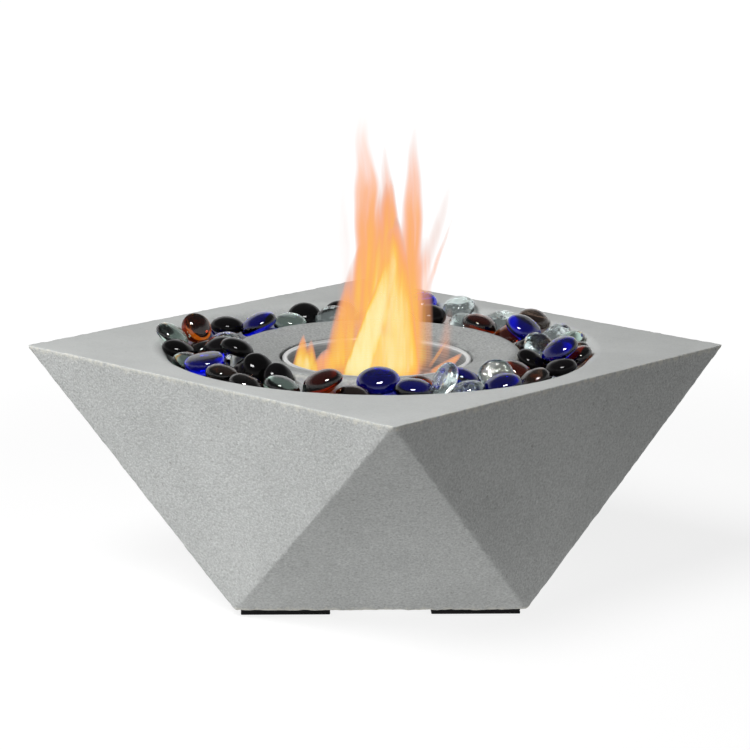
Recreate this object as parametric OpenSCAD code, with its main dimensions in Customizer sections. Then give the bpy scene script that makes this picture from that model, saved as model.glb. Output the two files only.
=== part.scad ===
// Tabletop alcohol fire pit: a faceted concrete body with a round moat of loose glass pebbles
// and a steel fuel cup that lifts out of the collar in the middle.
// Millimetres. +Z is up, the front faces -Y, and the origin is under the middle of the feet.

/* [Concrete body] */
// Width of the square top from corner to corner
top_across = 359; // [330:1:420]
// Side of the square base, which is turned 45 degrees from the top
base_side = 147; // [130:1:175]
// Height from the base to the top
body_h = 121; // [110:1:150]
// Rounding of the cast edges
edge_r = 2; // [1:0.5:4]
// Thickness of the concrete around the hollow underneath
wall = 13; // [9:0.5:16]

/* [Moat] */
// Radius at which the moat's lip meets the flat top
moat_r = 116.5; // [110:0.5:122]
// Depth of the moat's floor below the top
moat_depth = 20; // [16:0.5:26]
// Rounding of the lip
lip_r = 9; // [4:0.5:10]
// Slope of the moat's outer wall, in degrees from upright
moat_slope = 20; // [10:1:30]
// Rounding where the moat's walls meet its floor
floor_r = 4; // [2:0.5:5]

/* [Collar] */
// Outer radius of the collar's crown
collar_r = 75.5; // [70:0.5:80]
// Depth of the crown below the top
crown_drop = 1.6; // [0:0.1:4]
// Width of the flat crown
crown_w = 15.5; // [8:0.5:18]
// Rounding of the crown's outer edge
crown_r = 5; // [2:0.5:6]
// Slope of the collar's outer wall, in degrees from upright
collar_slope = 6; // [3:1:15]

/* [Fuel cup] */
// Radius of the cup's wall, outside
cup_r = 47; // [42:0.5:48]
// Height of the cup
cup_h = 44; // [30:1:50]
// Thickness of the cup's sheet steel
cup_sheet = 0.8; // [0.6:0.1:1.5]
// Radius of the rolled rim's section
rim_r = 1.4; // [1:0.1:2]
// Rounding at the cup's foot
cup_foot_r = 6; // [3:0.5:10]
// Depth of the rim below the collar's crown
rim_drop = 4.5; // [2:0.5:8]
// Room around the rim in the collar's bore
cup_gap = 1.2; // [0.6:0.1:2]

/* [Feet] */
// Length of each foam pad, along the base's front or back edge
foot_l = 45; // [30:1:55]
// Width of each foam pad
foot_w = 15; // [10:0.5:16]
// Thickness of each foam pad
foot_h = 3; // [2:0.5:6]
// Distance of the pads from the base's edges
foot_inset = 3; // [3:0.5:6]

/* [Glass pebbles] */
// Diameter of a usual pebble
pebble_d = 18; // [16:0.5:19]
// Thickness of a usual pebble
pebble_t = 9.4; // [8:0.2:11]
// Room left between a pebble and what it lies on
pebble_gap = 0.25; // [0.1:0.05:0.4]
// Pebbles in each of the two rows on the moat's floor
row_count = 19; // [12:1:20]

/* [Hidden] */

$fn = 96;
// Cuts reach this far past the face that they open
past = 1;
// Steps, in degrees, along the round stretches of an outline
arc_step = 15;
// Sides of the balls that round the cast edges
ball_fn = 24;
// Sides of a pebble
pebble_fn = 48;

// Heights above the surface that the feet stand on
base_z = foot_h;
top_z = base_z + body_h;
moat_z = top_z - moat_depth;
crown_z = top_z - crown_drop;
rim_z = crown_z - rim_drop;
cup_z = rim_z - cup_h;

// Radii of the rolled rim, the bore that it stands in and the crown's inner edge
rim_out_r = cup_r - cup_sheet + 2 * rim_r;
bore_r = rim_out_r + cup_gap;
crown_out_r = collar_r - crown_r;
crown_in_r = crown_out_r - crown_w;
// The bore's mouth is level with the middle of the rolled rim
mouth_z = rim_z - rim_r;

// Points of an arc about [x, z] from angle a to angle b
function arc(x, z, r, a, b) =
    let (steps = ceil(abs(b - a) / arc_step))
    [for (i = [0 : steps]) let (t = a + (b - a) * i / steps) [x + r * cos(t), z + r * sin(t)]];

// Where a wall that leans by slope leaves the rounding of its top edge and meets a floor at height z
lip_end = [moat_r - lip_r * cos(moat_slope), top_z - lip_r + lip_r * sin(moat_slope)];
moat_foot_r = lip_end.x - (lip_end.y - moat_z) * tan(moat_slope);
crown_end = [crown_out_r + crown_r * cos(collar_slope), crown_z - crown_r + crown_r * sin(collar_slope)];
collar_foot_r = crown_end.x + (crown_end.y - moat_z) * tan(collar_slope);
// Distance of a floor rounding's middle from the corner that it rounds
function corner_room(slope) = floor_r * tan(45 - slope / 2);

// Section of the casting's top, from the bore's mouth out to the flat top
bed = concat(
    [[bore_r, mouth_z], [crown_in_r, crown_z]],
    arc(crown_out_r, crown_z - crown_r, crown_r, 90, collar_slope),
    arc(collar_foot_r + corner_room(collar_slope), moat_z + floor_r, floor_r, 180 + collar_slope, 270),
    arc(moat_foot_r - corner_room(moat_slope), moat_z + floor_r, floor_r, 270, 360 - moat_slope),
    arc(moat_r, top_z - lip_r, lip_r, 180 - moat_slope, 90)
);

// Slopes of the two kinds of facet, as run over rise
corner_run = (top_across - base_side) / 2 / body_h;
edge_run = (top_across / 2 / sqrt(2) - base_side / sqrt(2)) / body_h;
// Section of the hollow underneath: it follows the facets, the bore and the moat at the wall's thickness
hollow_r = base_side / 2 - wall;
waist_r = base_side / sqrt(2) - wall;
waist_z = base_z + (waist_r - hollow_r) / (corner_run - edge_run);
hollow_z = moat_z - wall;

// The glass pebbles

COBALT = 0;
BLACK = 1;
AMBER = 2;
SMOKE = 3;
CLEAR = 4;
AQUA = 5;
INNER = 0;
OUTER = 1;
HEAP = 2;

// A planned pebble: its place round the axis in degrees, its place across the moat (0 at the collar, 1 at
// the lip), its tilt, the direction that its face leans towards, its size (1 is usual) and its colour
PLACE = 0;
ACROSS = 1;
TILT = 2;
TURN = 3;
SIZE = 4;
COLOUR = 5;

// The heap as it is filled in, lowest pebbles first
heap = [
    [172, 0.50, 25, 170, 1.00, SMOKE], [180, 0.02, 8, 180, 1.00, BLACK], [150, 0.70, 40, 0, 1.00, COBALT],
    [204, 0.65, 10, 210, 1.22, COBALT], [181, 0.92, 18, 350, 1.00, BLACK], [189, 0.85, 15, 340, 1.00, AQUA],
    [171, 0.88, 34, 350, 1.05, AQUA], [141, 0.88, 5, 310, 1.00, BLACK],
    [119, 0.45, 8, 270, 1.02, AQUA], [112, 0.85, 25, 270, 1.02, BLACK], [101, 0.95, 25, 280, 1.00, BLACK],
    [93, 0.40, 10, 270, 1.00, AMBER], [88, 0.85, 20, 240, 1.00, CLEAR], [79, 0.35, 15, 300, 1.00, COBALT],
    [69, 0.50, 15, 300, 1.00, BLACK], [72, 0.88, 20, 250, 1.00, COBALT], [46, 0.82, 20, 250, 1.00, CLEAR],
    [34, 0.40, 20, 200, 1.00, AMBER], [34, 0.80, 20, 300, 0.95, SMOKE], [21, 0.98, 35, 200, 1.00, CLEAR],
    [10, 1.00, 25, 195, 0.95, AQUA], [1, 0.96, 30, 180, 0.95, SMOKE], [351, 0.95, 35, 175, 1.00, AMBER],
    [333, 0.90, 15, 170, 0.95, BLACK], [328, 0.20, 25, 340, 0.95, AMBER], [344, 0.05, 35, 340, 0.95, BLACK],
    [323, 0.66, 30, 180, 1.05, SMOKE], [306, 0.88, 15, 190, 1.12, COBALT], [294, 0.85, 10, 180, 1.00, CLEAR],
    [282, 0.25, 25, 280, 1.00, AMBER], [278, 0.72, 5, 0, 1.12, COBALT], [261, 0.75, 8, 0, 1.00, SMOKE],
    [248, 0.30, 20, 180, 1.00, AMBER], [241, 0.70, 18, 0, 1.05, AQUA], [230, 0.70, 20, 0, 1.05, SMOKE],
    [217, 0.70, 12, 0, 1.00, SMOKE], [199, 0.02, 20, 0, 1.00, BLACK], [163, 0.15, 10, 180, 1.00, CLEAR],
    [139, 0.25, 25, 180, 1.14, COBALT], [107, 0.50, 20, 220, 1.00, CLEAR], [64, 0.85, 20, 240, 1.02, CLEAR],
    [57, 0.55, 25, 300, 1.05, CLEAR], [45, 0.15, 15, 0, 1.08, AMBER], [10, 0.35, 12, 90, 1.00, SMOKE],
    [22, 0.45, 30, 330, 1.16, COBALT], [3, 0.20, 40, 310, 1.08, CLEAR], [344, 0.62, 32, 190, 1.14, COBALT],
    [315, 0.25, 55, 265, 1.05, CLEAR], [299, 0.40, 25, 0, 1.00, COBALT], [286, 0.65, 60, 200, 1.00, CLEAR],
    [270, 0.40, 15, 260, 1.22, COBALT], [252, 0.60, 20, 180, 1.14, AMBER], [213, 0.08, 35, 190, 1.00, BLACK],
    [220, 0.30, 52, 310, 1.00, BLACK], [229, 0.15, 62, 310, 1.00, BLACK], [165, 0.78, 60, 300, 0.95, AMBER]
];

// The two rows on the floor stand in a zigzag, tilted a little by turns and turned on from one to the next
row_across = [0.24, 0.66];
row_tilts = [12, 6, 14, 9];
row_turn = 100;
row_colours = [BLACK, CLEAR, COBALT, AMBER, AQUA, SMOKE];
// The outer row's colours start this many places further on
row_shift = 2;
function in_turn(list, i) = list[i % len(list)];
function row(which) = [
    for (i = [0 : row_count - 1])
    let (angle = (i + which / 2) * 360 / row_count)
    [angle, row_across[which], in_turn(row_tilts, i), angle + row_turn * i, 1,
        in_turn(row_colours, i + row_shift * which)]
];

// A laid pebble: its middle, its axis, its half width, its half thickness, its row and its plan
MIDDLE = 0;
AXIS = 1;
HALF_W = 2;
HALF_T = 3;
ROW = 4;
PLAN = 5;

// How far a pebble may slip sideways, first and then again, and the height that a slip has to gain per length
slips = [3, 1.5];
slip_cost = 0.4;
// Latitudes and longitudes of the points at which a pebble is tried against the casting
skin_ups = [-75 : 25 : 75];
skin_rounds = [0 : 30 : 330];
// Steps in the search for the height of one pebble on another
rest_steps = 9;

function lean(tilt, turn) = [sin(tilt) * cos(turn), sin(tilt) * sin(turn), cos(tilt)];

// Points on a pebble's skin, all over but for its top
function skin(n, side, w, t) =
    let (across = cross(n, side))
    [for (up = skin_ups, round = skin_rounds)
        let (p = w * cos(up) * (cos(round) * side + sin(round) * across) + t * sin(up) * n)
        if (p.z < t / 2) p];

// Height at which one pebble rests on another, from the other's middle, for a plan distance d between them.
// Each plane [a, b, 1] that touches both gives a height that is clear, and the least one is the rest:
// Newton steps find it.
function height_on_pebble(n, w, t, n2, w2, t2, d, a = 0, b = 0, steps = rest_steps) =
    let (
        u = [a, b, 1],
        q = w * w * u - (w * w - t * t) * (n * u) * n,
        q2 = w2 * w2 * u - (w2 * w2 - t2 * t2) * (n2 * u) * n2,
        s = sqrt(u * q),
        s2 = sqrt(u * q2),
        here = s + s2 - a * d.x - b * d.y,
        slope = [q.x / s + q2.x / s2 - d.x, q.y / s + q2.y / s2 - d.y],
        bend = bend_of(n, w, t, q, s) + bend_of(n2, w2, t2, q2, s2),
        det = bend[0] * bend[2] - bend[1] * bend[1],
        step = [bend[1] * slope.y - bend[2] * slope.x, bend[1] * slope.x - bend[0] * slope.y] / det,
        part = min(1, 1 / max(norm(step), 0.001))
    )
    steps == 0 ? here
        : min(here, height_on_pebble(n, w, t, n2, w2, t2, d, a + part * step.x, b + part * step.y, steps - 1));

// How the height of the touching plane bends with a and b, on one pebble
function bend_of(n, w, t, q, s) =
    let (e = w * w - t * t)
    [w * w - e * n.x * n.x - q.x * q.x / (s * s),
     -e * n.x * n.y - q.x * q.y / (s * s),
     w * w - e * n.y * n.y - q.y * q.y / (s * s)] / s;

// Lowest height of a pebble's middle at a place, clear of the casting and of the pebbles near it
function rest_height(place, n, w, t, points, near) =
    max(concat(
        [for (p = points) lookup(norm([place.x + p.x, place.y + p.y]), bed) - p.z + pebble_gap],
        [for (o = near)
            let (d = place - [o[MIDDLE].x, o[MIDDLE].y])
            if (norm(d) < w + o[HALF_W])
            o[MIDDLE].z + height_on_pebble(n, w, t, o[AXIS], o[HALF_W], o[HALF_T], d)]
    ));

// The place within one slip of the chosen one where a pebble comes to lie: it moves only for a lower rest
function slipped(place, n, w, t, points, near, slip) =
    let (
        out = place / norm(place),
        places = [for (i = [0, -1, 1], j = [0, -1, 1]) place + slip * (i * out + j * [-out.y, out.x])],
        costs = [for (q = places) rest_height(q, n, w, t, points, near) + slip_cost * norm(q - place)]
    )
    places[search(min(costs), costs)[0]];

// A pebble let down onto the casting and the pebbles that lie there already
function laid(p, which, done) =
    let (
        place = (collar_r + p[ACROSS] * (lip_end.x - collar_r)) * [cos(p[PLACE]), sin(p[PLACE])],
        n = lean(p[TILT], p[TURN]),
        w = p[SIZE] * pebble_d / 2,
        t = p[SIZE] * pebble_t / 2,
        room = pebble_gap / 2,
        points = skin(n, [-sin(p[TURN]), cos(p[TURN]), 0], w, t),
        near = [for (o = done) if (norm(place - [o[MIDDLE].x, o[MIDDLE].y]) < w + o[HALF_W] + 2 * slips[0])
            [o[MIDDLE], o[AXIS], o[HALF_W] + room, o[HALF_T] + room]],
        first = slipped(place, n, w + room, t + room, points, near, slips[0]),
        spot = slipped(first, n, w + room, t + room, points, near, slips[1])
    )
    [[spot.x, spot.y, rest_height(spot, n, w + room, t + room, points, near)], n, w, t, which, p];

function lay(list, which, done, i = 0) =
    i == len(list) ? done : lay(list, which, concat(done, [laid(list[i], which, done)]), i + 1);

pebbles = lay(heap, HEAP, lay(row(OUTER), OUTER, lay(row(INNER), INNER, [])));

// One pebble at the origin: an oblate round of glass
module pebble(w, t) {
    scale([w, w, t]) sphere(1, $fn = pebble_fn);
}

module pebbles_of(which, colour) {
    for (p = pebbles)
        if (p[ROW] == which && p[PLAN][COLOUR] == colour)
            translate(p[MIDDLE]) rotate([0, p[PLAN][TILT], p[PLAN][TURN]]) pebble(p[HALF_W], p[HALF_T]);
}

// The casting

module ball(r) {
    rotate_extrude($fn = ball_fn)
        polygon([for (up = [-90 : 360 / ball_fn : 90]) [r * cos(up), r * sin(up)]]);
}

module faceted_block() {
    top_reach = top_across / 2 - edge_r;
    base_reach = base_side / 2 - edge_r;
    hull() {
        for (turn = [0 : 90 : 270])
            rotate([0, 0, turn]) {
                translate([top_reach, 0, top_z - edge_r]) ball(edge_r);
                translate([base_reach, base_reach, base_z + edge_r]) ball(edge_r);
            }
    }
}

module concrete_body() {
    color([0.62, 0.63, 0.62])
        difference() {
            faceted_block();
            rotate_extrude()
                polygon(concat([[0, cup_z], [bore_r, cup_z]], bed, [[moat_r, top_z + past], [0, top_z + past]]));
            rotate_extrude()
                polygon([
                    [0, base_z - past], [hollow_r, base_z - past], [hollow_r, base_z], [waist_r, waist_z],
                    [waist_r + (hollow_z - waist_z) * edge_run, hollow_z], [bore_r + wall, hollow_z],
                    [bore_r + wall, cup_z - wall], [0, cup_z - wall]
                ]);
        }
}

module fuel_cup() {
    inside_r = cup_r - cup_sheet;
    inside_foot_r = cup_foot_r - cup_sheet;
    // The sheet rolls outwards, from the inside of the wall until its edge is back at the outside
    roll_end = 290;
    color([0.75, 0.76, 0.77])
        rotate_extrude()
            polygon(concat(
                [[0, cup_z]],
                arc(cup_r - cup_foot_r, cup_z + cup_foot_r, cup_foot_r, 270, 360),
                [[cup_r, rim_z - 2 * rim_r]],
                arc(inside_r + rim_r, rim_z - rim_r, rim_r, roll_end, 540),
                arc(cup_r - cup_foot_r, cup_z + cup_foot_r, inside_foot_r, 360, 270),
                [[0, cup_z + cup_sheet]]
            ));
}

// A foam pad at one corner, named by the sides that it is on
module foot(side_x, side_y) {
    far = base_side / 2 - foot_inset;
    color([0.07, 0.07, 0.07])
        translate([side_x * (far - foot_l / 2), side_y * (far - foot_w / 2), foot_h / 2])
            cube([foot_l, foot_w, foot_h], center = true);
}
module front_left_foot() { foot(-1, -1); }
module front_right_foot() { foot(1, -1); }
module back_left_foot() { foot(-1, 1); }
module back_right_foot() { foot(1, 1); }

module cobalt_pebbles(which) { color([0.05, 0.12, 0.65]) pebbles_of(which, COBALT); }
module black_pebbles(which) { color([0.04, 0.04, 0.05]) pebbles_of(which, BLACK); }
module amber_pebbles(which) { color([0.45, 0.16, 0.05]) pebbles_of(which, AMBER); }
module smoke_pebbles(which) { color([0.35, 0.31, 0.28]) pebbles_of(which, SMOKE); }
module clear_pebbles(which) { color([0.85, 0.90, 0.92]) pebbles_of(which, CLEAR); }
module aqua_pebbles(which) { color([0.66, 0.82, 0.78]) pebbles_of(which, AQUA); }

concrete_body();
fuel_cup();
front_left_foot();
front_right_foot();
back_left_foot();
back_right_foot();
cobalt_pebbles(INNER);  // cobalt_pebbles_inner
cobalt_pebbles(OUTER);  // cobalt_pebbles_outer
cobalt_pebbles(HEAP);  // cobalt_pebbles_heap
black_pebbles(INNER);  // black_pebbles_inner
black_pebbles(OUTER);  // black_pebbles_outer
black_pebbles(HEAP);  // black_pebbles_heap
amber_pebbles(INNER);  // amber_pebbles_inner
amber_pebbles(OUTER);  // amber_pebbles_outer
amber_pebbles(HEAP);  // amber_pebbles_heap
smoke_pebbles(INNER);  // smoke_pebbles_inner
smoke_pebbles(OUTER);  // smoke_pebbles_outer
smoke_pebbles(HEAP);  // smoke_pebbles_heap
clear_pebbles(INNER);  // clear_pebbles_inner
clear_pebbles(OUTER);  // clear_pebbles_outer
clear_pebbles(HEAP);  // clear_pebbles_heap
aqua_pebbles(INNER);  // aqua_pebbles_inner
aqua_pebbles(OUTER);  // aqua_pebbles_outer
aqua_pebbles(HEAP);  // aqua_pebbles_heap
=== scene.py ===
"""Looks of a tabletop alcohol fire pit: cast concrete, spun steel, foam pads, glass pebbles and a flame.

Lengths are in metres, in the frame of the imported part: +Z is up, the front faces -Y, and the origin is
on the table under the middle of the part.
"""

from __future__ import annotations

import logging
import math
from collections.abc import Callable, Iterator, Sequence
from contextlib import contextmanager
from dataclasses import dataclass, field
from enum import Enum
from itertools import pairwise

import bpy
import numpy as np
from mathutils import Matrix, Vector

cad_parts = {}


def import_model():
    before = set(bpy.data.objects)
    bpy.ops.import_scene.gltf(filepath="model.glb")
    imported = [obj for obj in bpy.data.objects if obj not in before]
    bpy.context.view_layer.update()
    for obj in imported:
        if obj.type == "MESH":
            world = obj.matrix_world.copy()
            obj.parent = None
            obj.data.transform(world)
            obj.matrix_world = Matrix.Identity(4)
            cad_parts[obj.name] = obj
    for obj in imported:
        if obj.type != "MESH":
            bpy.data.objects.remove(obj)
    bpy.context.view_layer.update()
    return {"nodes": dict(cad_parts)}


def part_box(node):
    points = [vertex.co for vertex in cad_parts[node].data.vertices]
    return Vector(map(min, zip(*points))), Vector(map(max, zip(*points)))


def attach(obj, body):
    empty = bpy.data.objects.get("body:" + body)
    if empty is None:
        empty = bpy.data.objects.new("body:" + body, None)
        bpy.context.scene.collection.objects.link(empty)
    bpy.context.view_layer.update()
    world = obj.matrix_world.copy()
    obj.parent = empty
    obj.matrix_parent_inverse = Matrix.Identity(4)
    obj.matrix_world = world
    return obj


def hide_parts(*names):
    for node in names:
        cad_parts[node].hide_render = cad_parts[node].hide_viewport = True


LOG = logging.getLogger("fire_pit")

Colour = tuple[float, float, float]
Place = tuple[float, float, float]
Point = tuple[float, float]
# Where something starts and where it ends
Span = tuple[float, float]

PIT = "pit"
CUP = "cup"
FULL_WHITE = (1, 1, 1, 1)
FULL_BLACK = (0, 0, 0, 1)
# Leaves out the height of a point
FLAT = (1.0, 1.0, 0.0)
# Points closer than this are one point
WELD = 1e-6
# Points closer than this in height are on one level
LEVEL = 1e-5


class Wire:
    """A shader socket on which Python's operators add Math nodes."""

    def __init__(self, sheet: Sheet, socket: bpy.types.NodeSocket) -> None:
        """Wraps one output socket of a sheet of nodes."""
        self.sheet = sheet
        self.socket = socket

    def math(self, operation: str, *others: Feed) -> Wire:
        """Joins this value and others in one Math node."""
        return self.sheet.node("ShaderNodeMath", {"operation": operation}, dict(enumerate((self, *others))))

    def turned(self, operation: str, other: Feed) -> Wire:
        """Joins another value and this one, in that order."""
        return self.sheet.node("ShaderNodeMath", {"operation": operation}, {0: other, 1: self})

    def __add__(self, other: Feed) -> Wire:
        """Adds."""
        return self.math("ADD", other)

    def __radd__(self, other: Feed) -> Wire:
        """Adds to a number."""
        return self.math("ADD", other)

    def __sub__(self, other: Feed) -> Wire:
        """Subtracts."""
        return self.math("SUBTRACT", other)

    def __rsub__(self, other: Feed) -> Wire:
        """Subtracts from a number."""
        return self.turned("SUBTRACT", other)

    def __mul__(self, other: Feed) -> Wire:
        """Multiplies."""
        return self.math("MULTIPLY", other)

    def __rmul__(self, other: Feed) -> Wire:
        """Multiplies a number."""
        return self.math("MULTIPLY", other)

    def __truediv__(self, other: Feed) -> Wire:
        """Divides."""
        return self.math("DIVIDE", other)

    def __pow__(self, other: Feed) -> Wire:
        """Raises to a power."""
        return self.math("POWER", other)

    def clamped(self) -> Wire:
        """Keeps the value from 0 to 1."""
        return self.sheet.node("ShaderNodeClamp", feeds={"Value": self})

    def centred(self) -> Wire:
        """Moves a value from 0 to 1 down to lie evenly about 0."""
        return self - 0.5

    def stepped(self, low: float, high: float) -> Wire:
        """Rises smoothly from 0 at low to 1 at high."""
        settings = {"interpolation_type": "SMOOTHSTEP"}
        return self.sheet.node("ShaderNodeMapRange", settings, {0: self, 1: low, 2: high})


Feed = Wire | float | Sequence[float]


class Sheet:
    """The nodes of one material or world."""

    def __init__(self, tree: bpy.types.NodeTree) -> None:
        """Starts with no nodes."""
        tree.nodes.clear()
        self.tree = tree

    def node(
        self,
        kind: str,
        settings: dict[str, object] | None = None,
        feeds: dict[str | int, Feed] | None = None,
        output: str | int = 0,
    ) -> Wire | None:
        """Adds one node.

        Args:
            kind: The node's type.
            settings: The node's own settings, set first; stops are a colour ramp's.
            feeds: Values or wires for its sockets, by name or number.
            output: The output socket to hand back.

        Returns:
            The chosen output, or None from a node that has no outputs.
        """
        made = self.tree.nodes.new(kind)
        for name, value in (settings or {}).items():
            if name == "stops":
                self._set_stops(made.color_ramp, value)
            else:
                setattr(made, name, value)
        for key, value in (feeds or {}).items():
            if isinstance(value, Wire):
                self.tree.links.new(value.socket, made.inputs[key])
            else:
                made.inputs[key].default_value = value
        return Wire(self, made.outputs[output]) if made.outputs else None

    @staticmethod
    def _set_stops(ramp: bpy.types.ColorRamp, stops: Sequence[tuple[float, Colour]]) -> None:
        """Gives a colour ramp its stops.

        Args:
            ramp: A new ramp.
            stops: Places from 0 to 1, in order, with their colours.
        """
        while len(ramp.elements) < len(stops):
            ramp.elements.new(1.0)
        for element, (place, colour) in zip(ramp.elements, stops):
            element.position = place
            element.color = opaque(colour)

    def place(self) -> Wire:
        """The point on the piece, in metres."""
        return self.node("ShaderNodeTexCoord", output="Object")

    def attribute(self, name: str) -> Wire:
        """A value that the piece's points hold."""
        return self.node("ShaderNodeAttribute", {"attribute_name": name}, output="Fac")

    def along(self, place: Wire, axis: str) -> Wire:
        """One coordinate of a point."""
        return self.node("ShaderNodeSeparateXYZ", feeds={0: place}, output=axis)

    def vector(self, operation: str, *feeds: Feed, output: str = "Vector") -> Wire:
        """Joins points or colours in one Vector Math node."""
        return self.node("ShaderNodeVectorMath", {"operation": operation}, dict(enumerate(feeds)), output)

    def stretched(self, place: Wire, scale: Sequence[float]) -> Wire:
        """A point with each coordinate scaled."""
        return self.vector("MULTIPLY", place, scale)

    def scaled(self, whole: Wire, share: Wire) -> Wire:
        """A point or colour with all its parts scaled alike."""
        return self.node("ShaderNodeVectorMath", {"operation": "SCALE"}, {0: whole, "Scale": share})

    def radius(self, place: Wire) -> Wire:
        """The distance of a point from the axis."""
        return self.vector("LENGTH", self.stretched(place, FLAT), output="Value")

    def noise(self, place: Wire, size: float, detail: float, rough: float) -> Wire:
        """Noise from 0 to 1 whose blots have the given size."""
        feeds = {"Vector": place, "Scale": 1 / size, "Detail": detail, "Roughness": rough}
        return self.node("ShaderNodeTexNoise", feeds=feeds)

    def mix(self, share: Feed, first: Feed, second: Feed) -> Wire:
        """A colour between two, all of the first at share 0."""
        feeds = {0: share, 6: first, 7: second}
        return self.node("ShaderNodeMix", {"data_type": "RGBA"}, feeds, 2)

    def bump(self, height: Wire, depth: float) -> Wire:
        """A normal that follows a height from 0 to 1, worth the given depth."""
        feeds = {"Strength": 1.0, "Distance": depth, "Height": height}
        return self.node("ShaderNodeBump", feeds=feeds)

    def surface(self, **feeds: Feed) -> Wire:
        """A Principled surface; underscores in the names stand for spaces."""
        named = {name.replace("_", " "): value for name, value in feeds.items()}
        return self.node("ShaderNodeBsdfPrincipled", feeds=named)

    def finish(self, surface: Wire | None = None, volume: Wire | None = None) -> None:
        """Joins the shaders to the material's output.

        Args:
            surface: The shader of the skin, if there is one.
            volume: The shader of the inside, if there is one.
        """
        feeds = {"Surface": surface, "Volume": volume}
        chosen = {name: wire for name, wire in feeds.items() if wire is not None}
        self.node("ShaderNodeOutputMaterial", feeds=chosen)


def opaque(colour: Colour) -> tuple[float, float, float, float]:
    """A colour with full alpha."""
    return (*colour, 1.0)


def new_material(name: str) -> tuple[bpy.types.Material, Sheet]:
    """Makes an empty material.

    Args:
        name: The material's name.

    Returns:
        The material and the sheet of its nodes.
    """
    material = bpy.data.materials.new(name)
    material.use_nodes = True
    return material, Sheet(material.node_tree)


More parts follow.
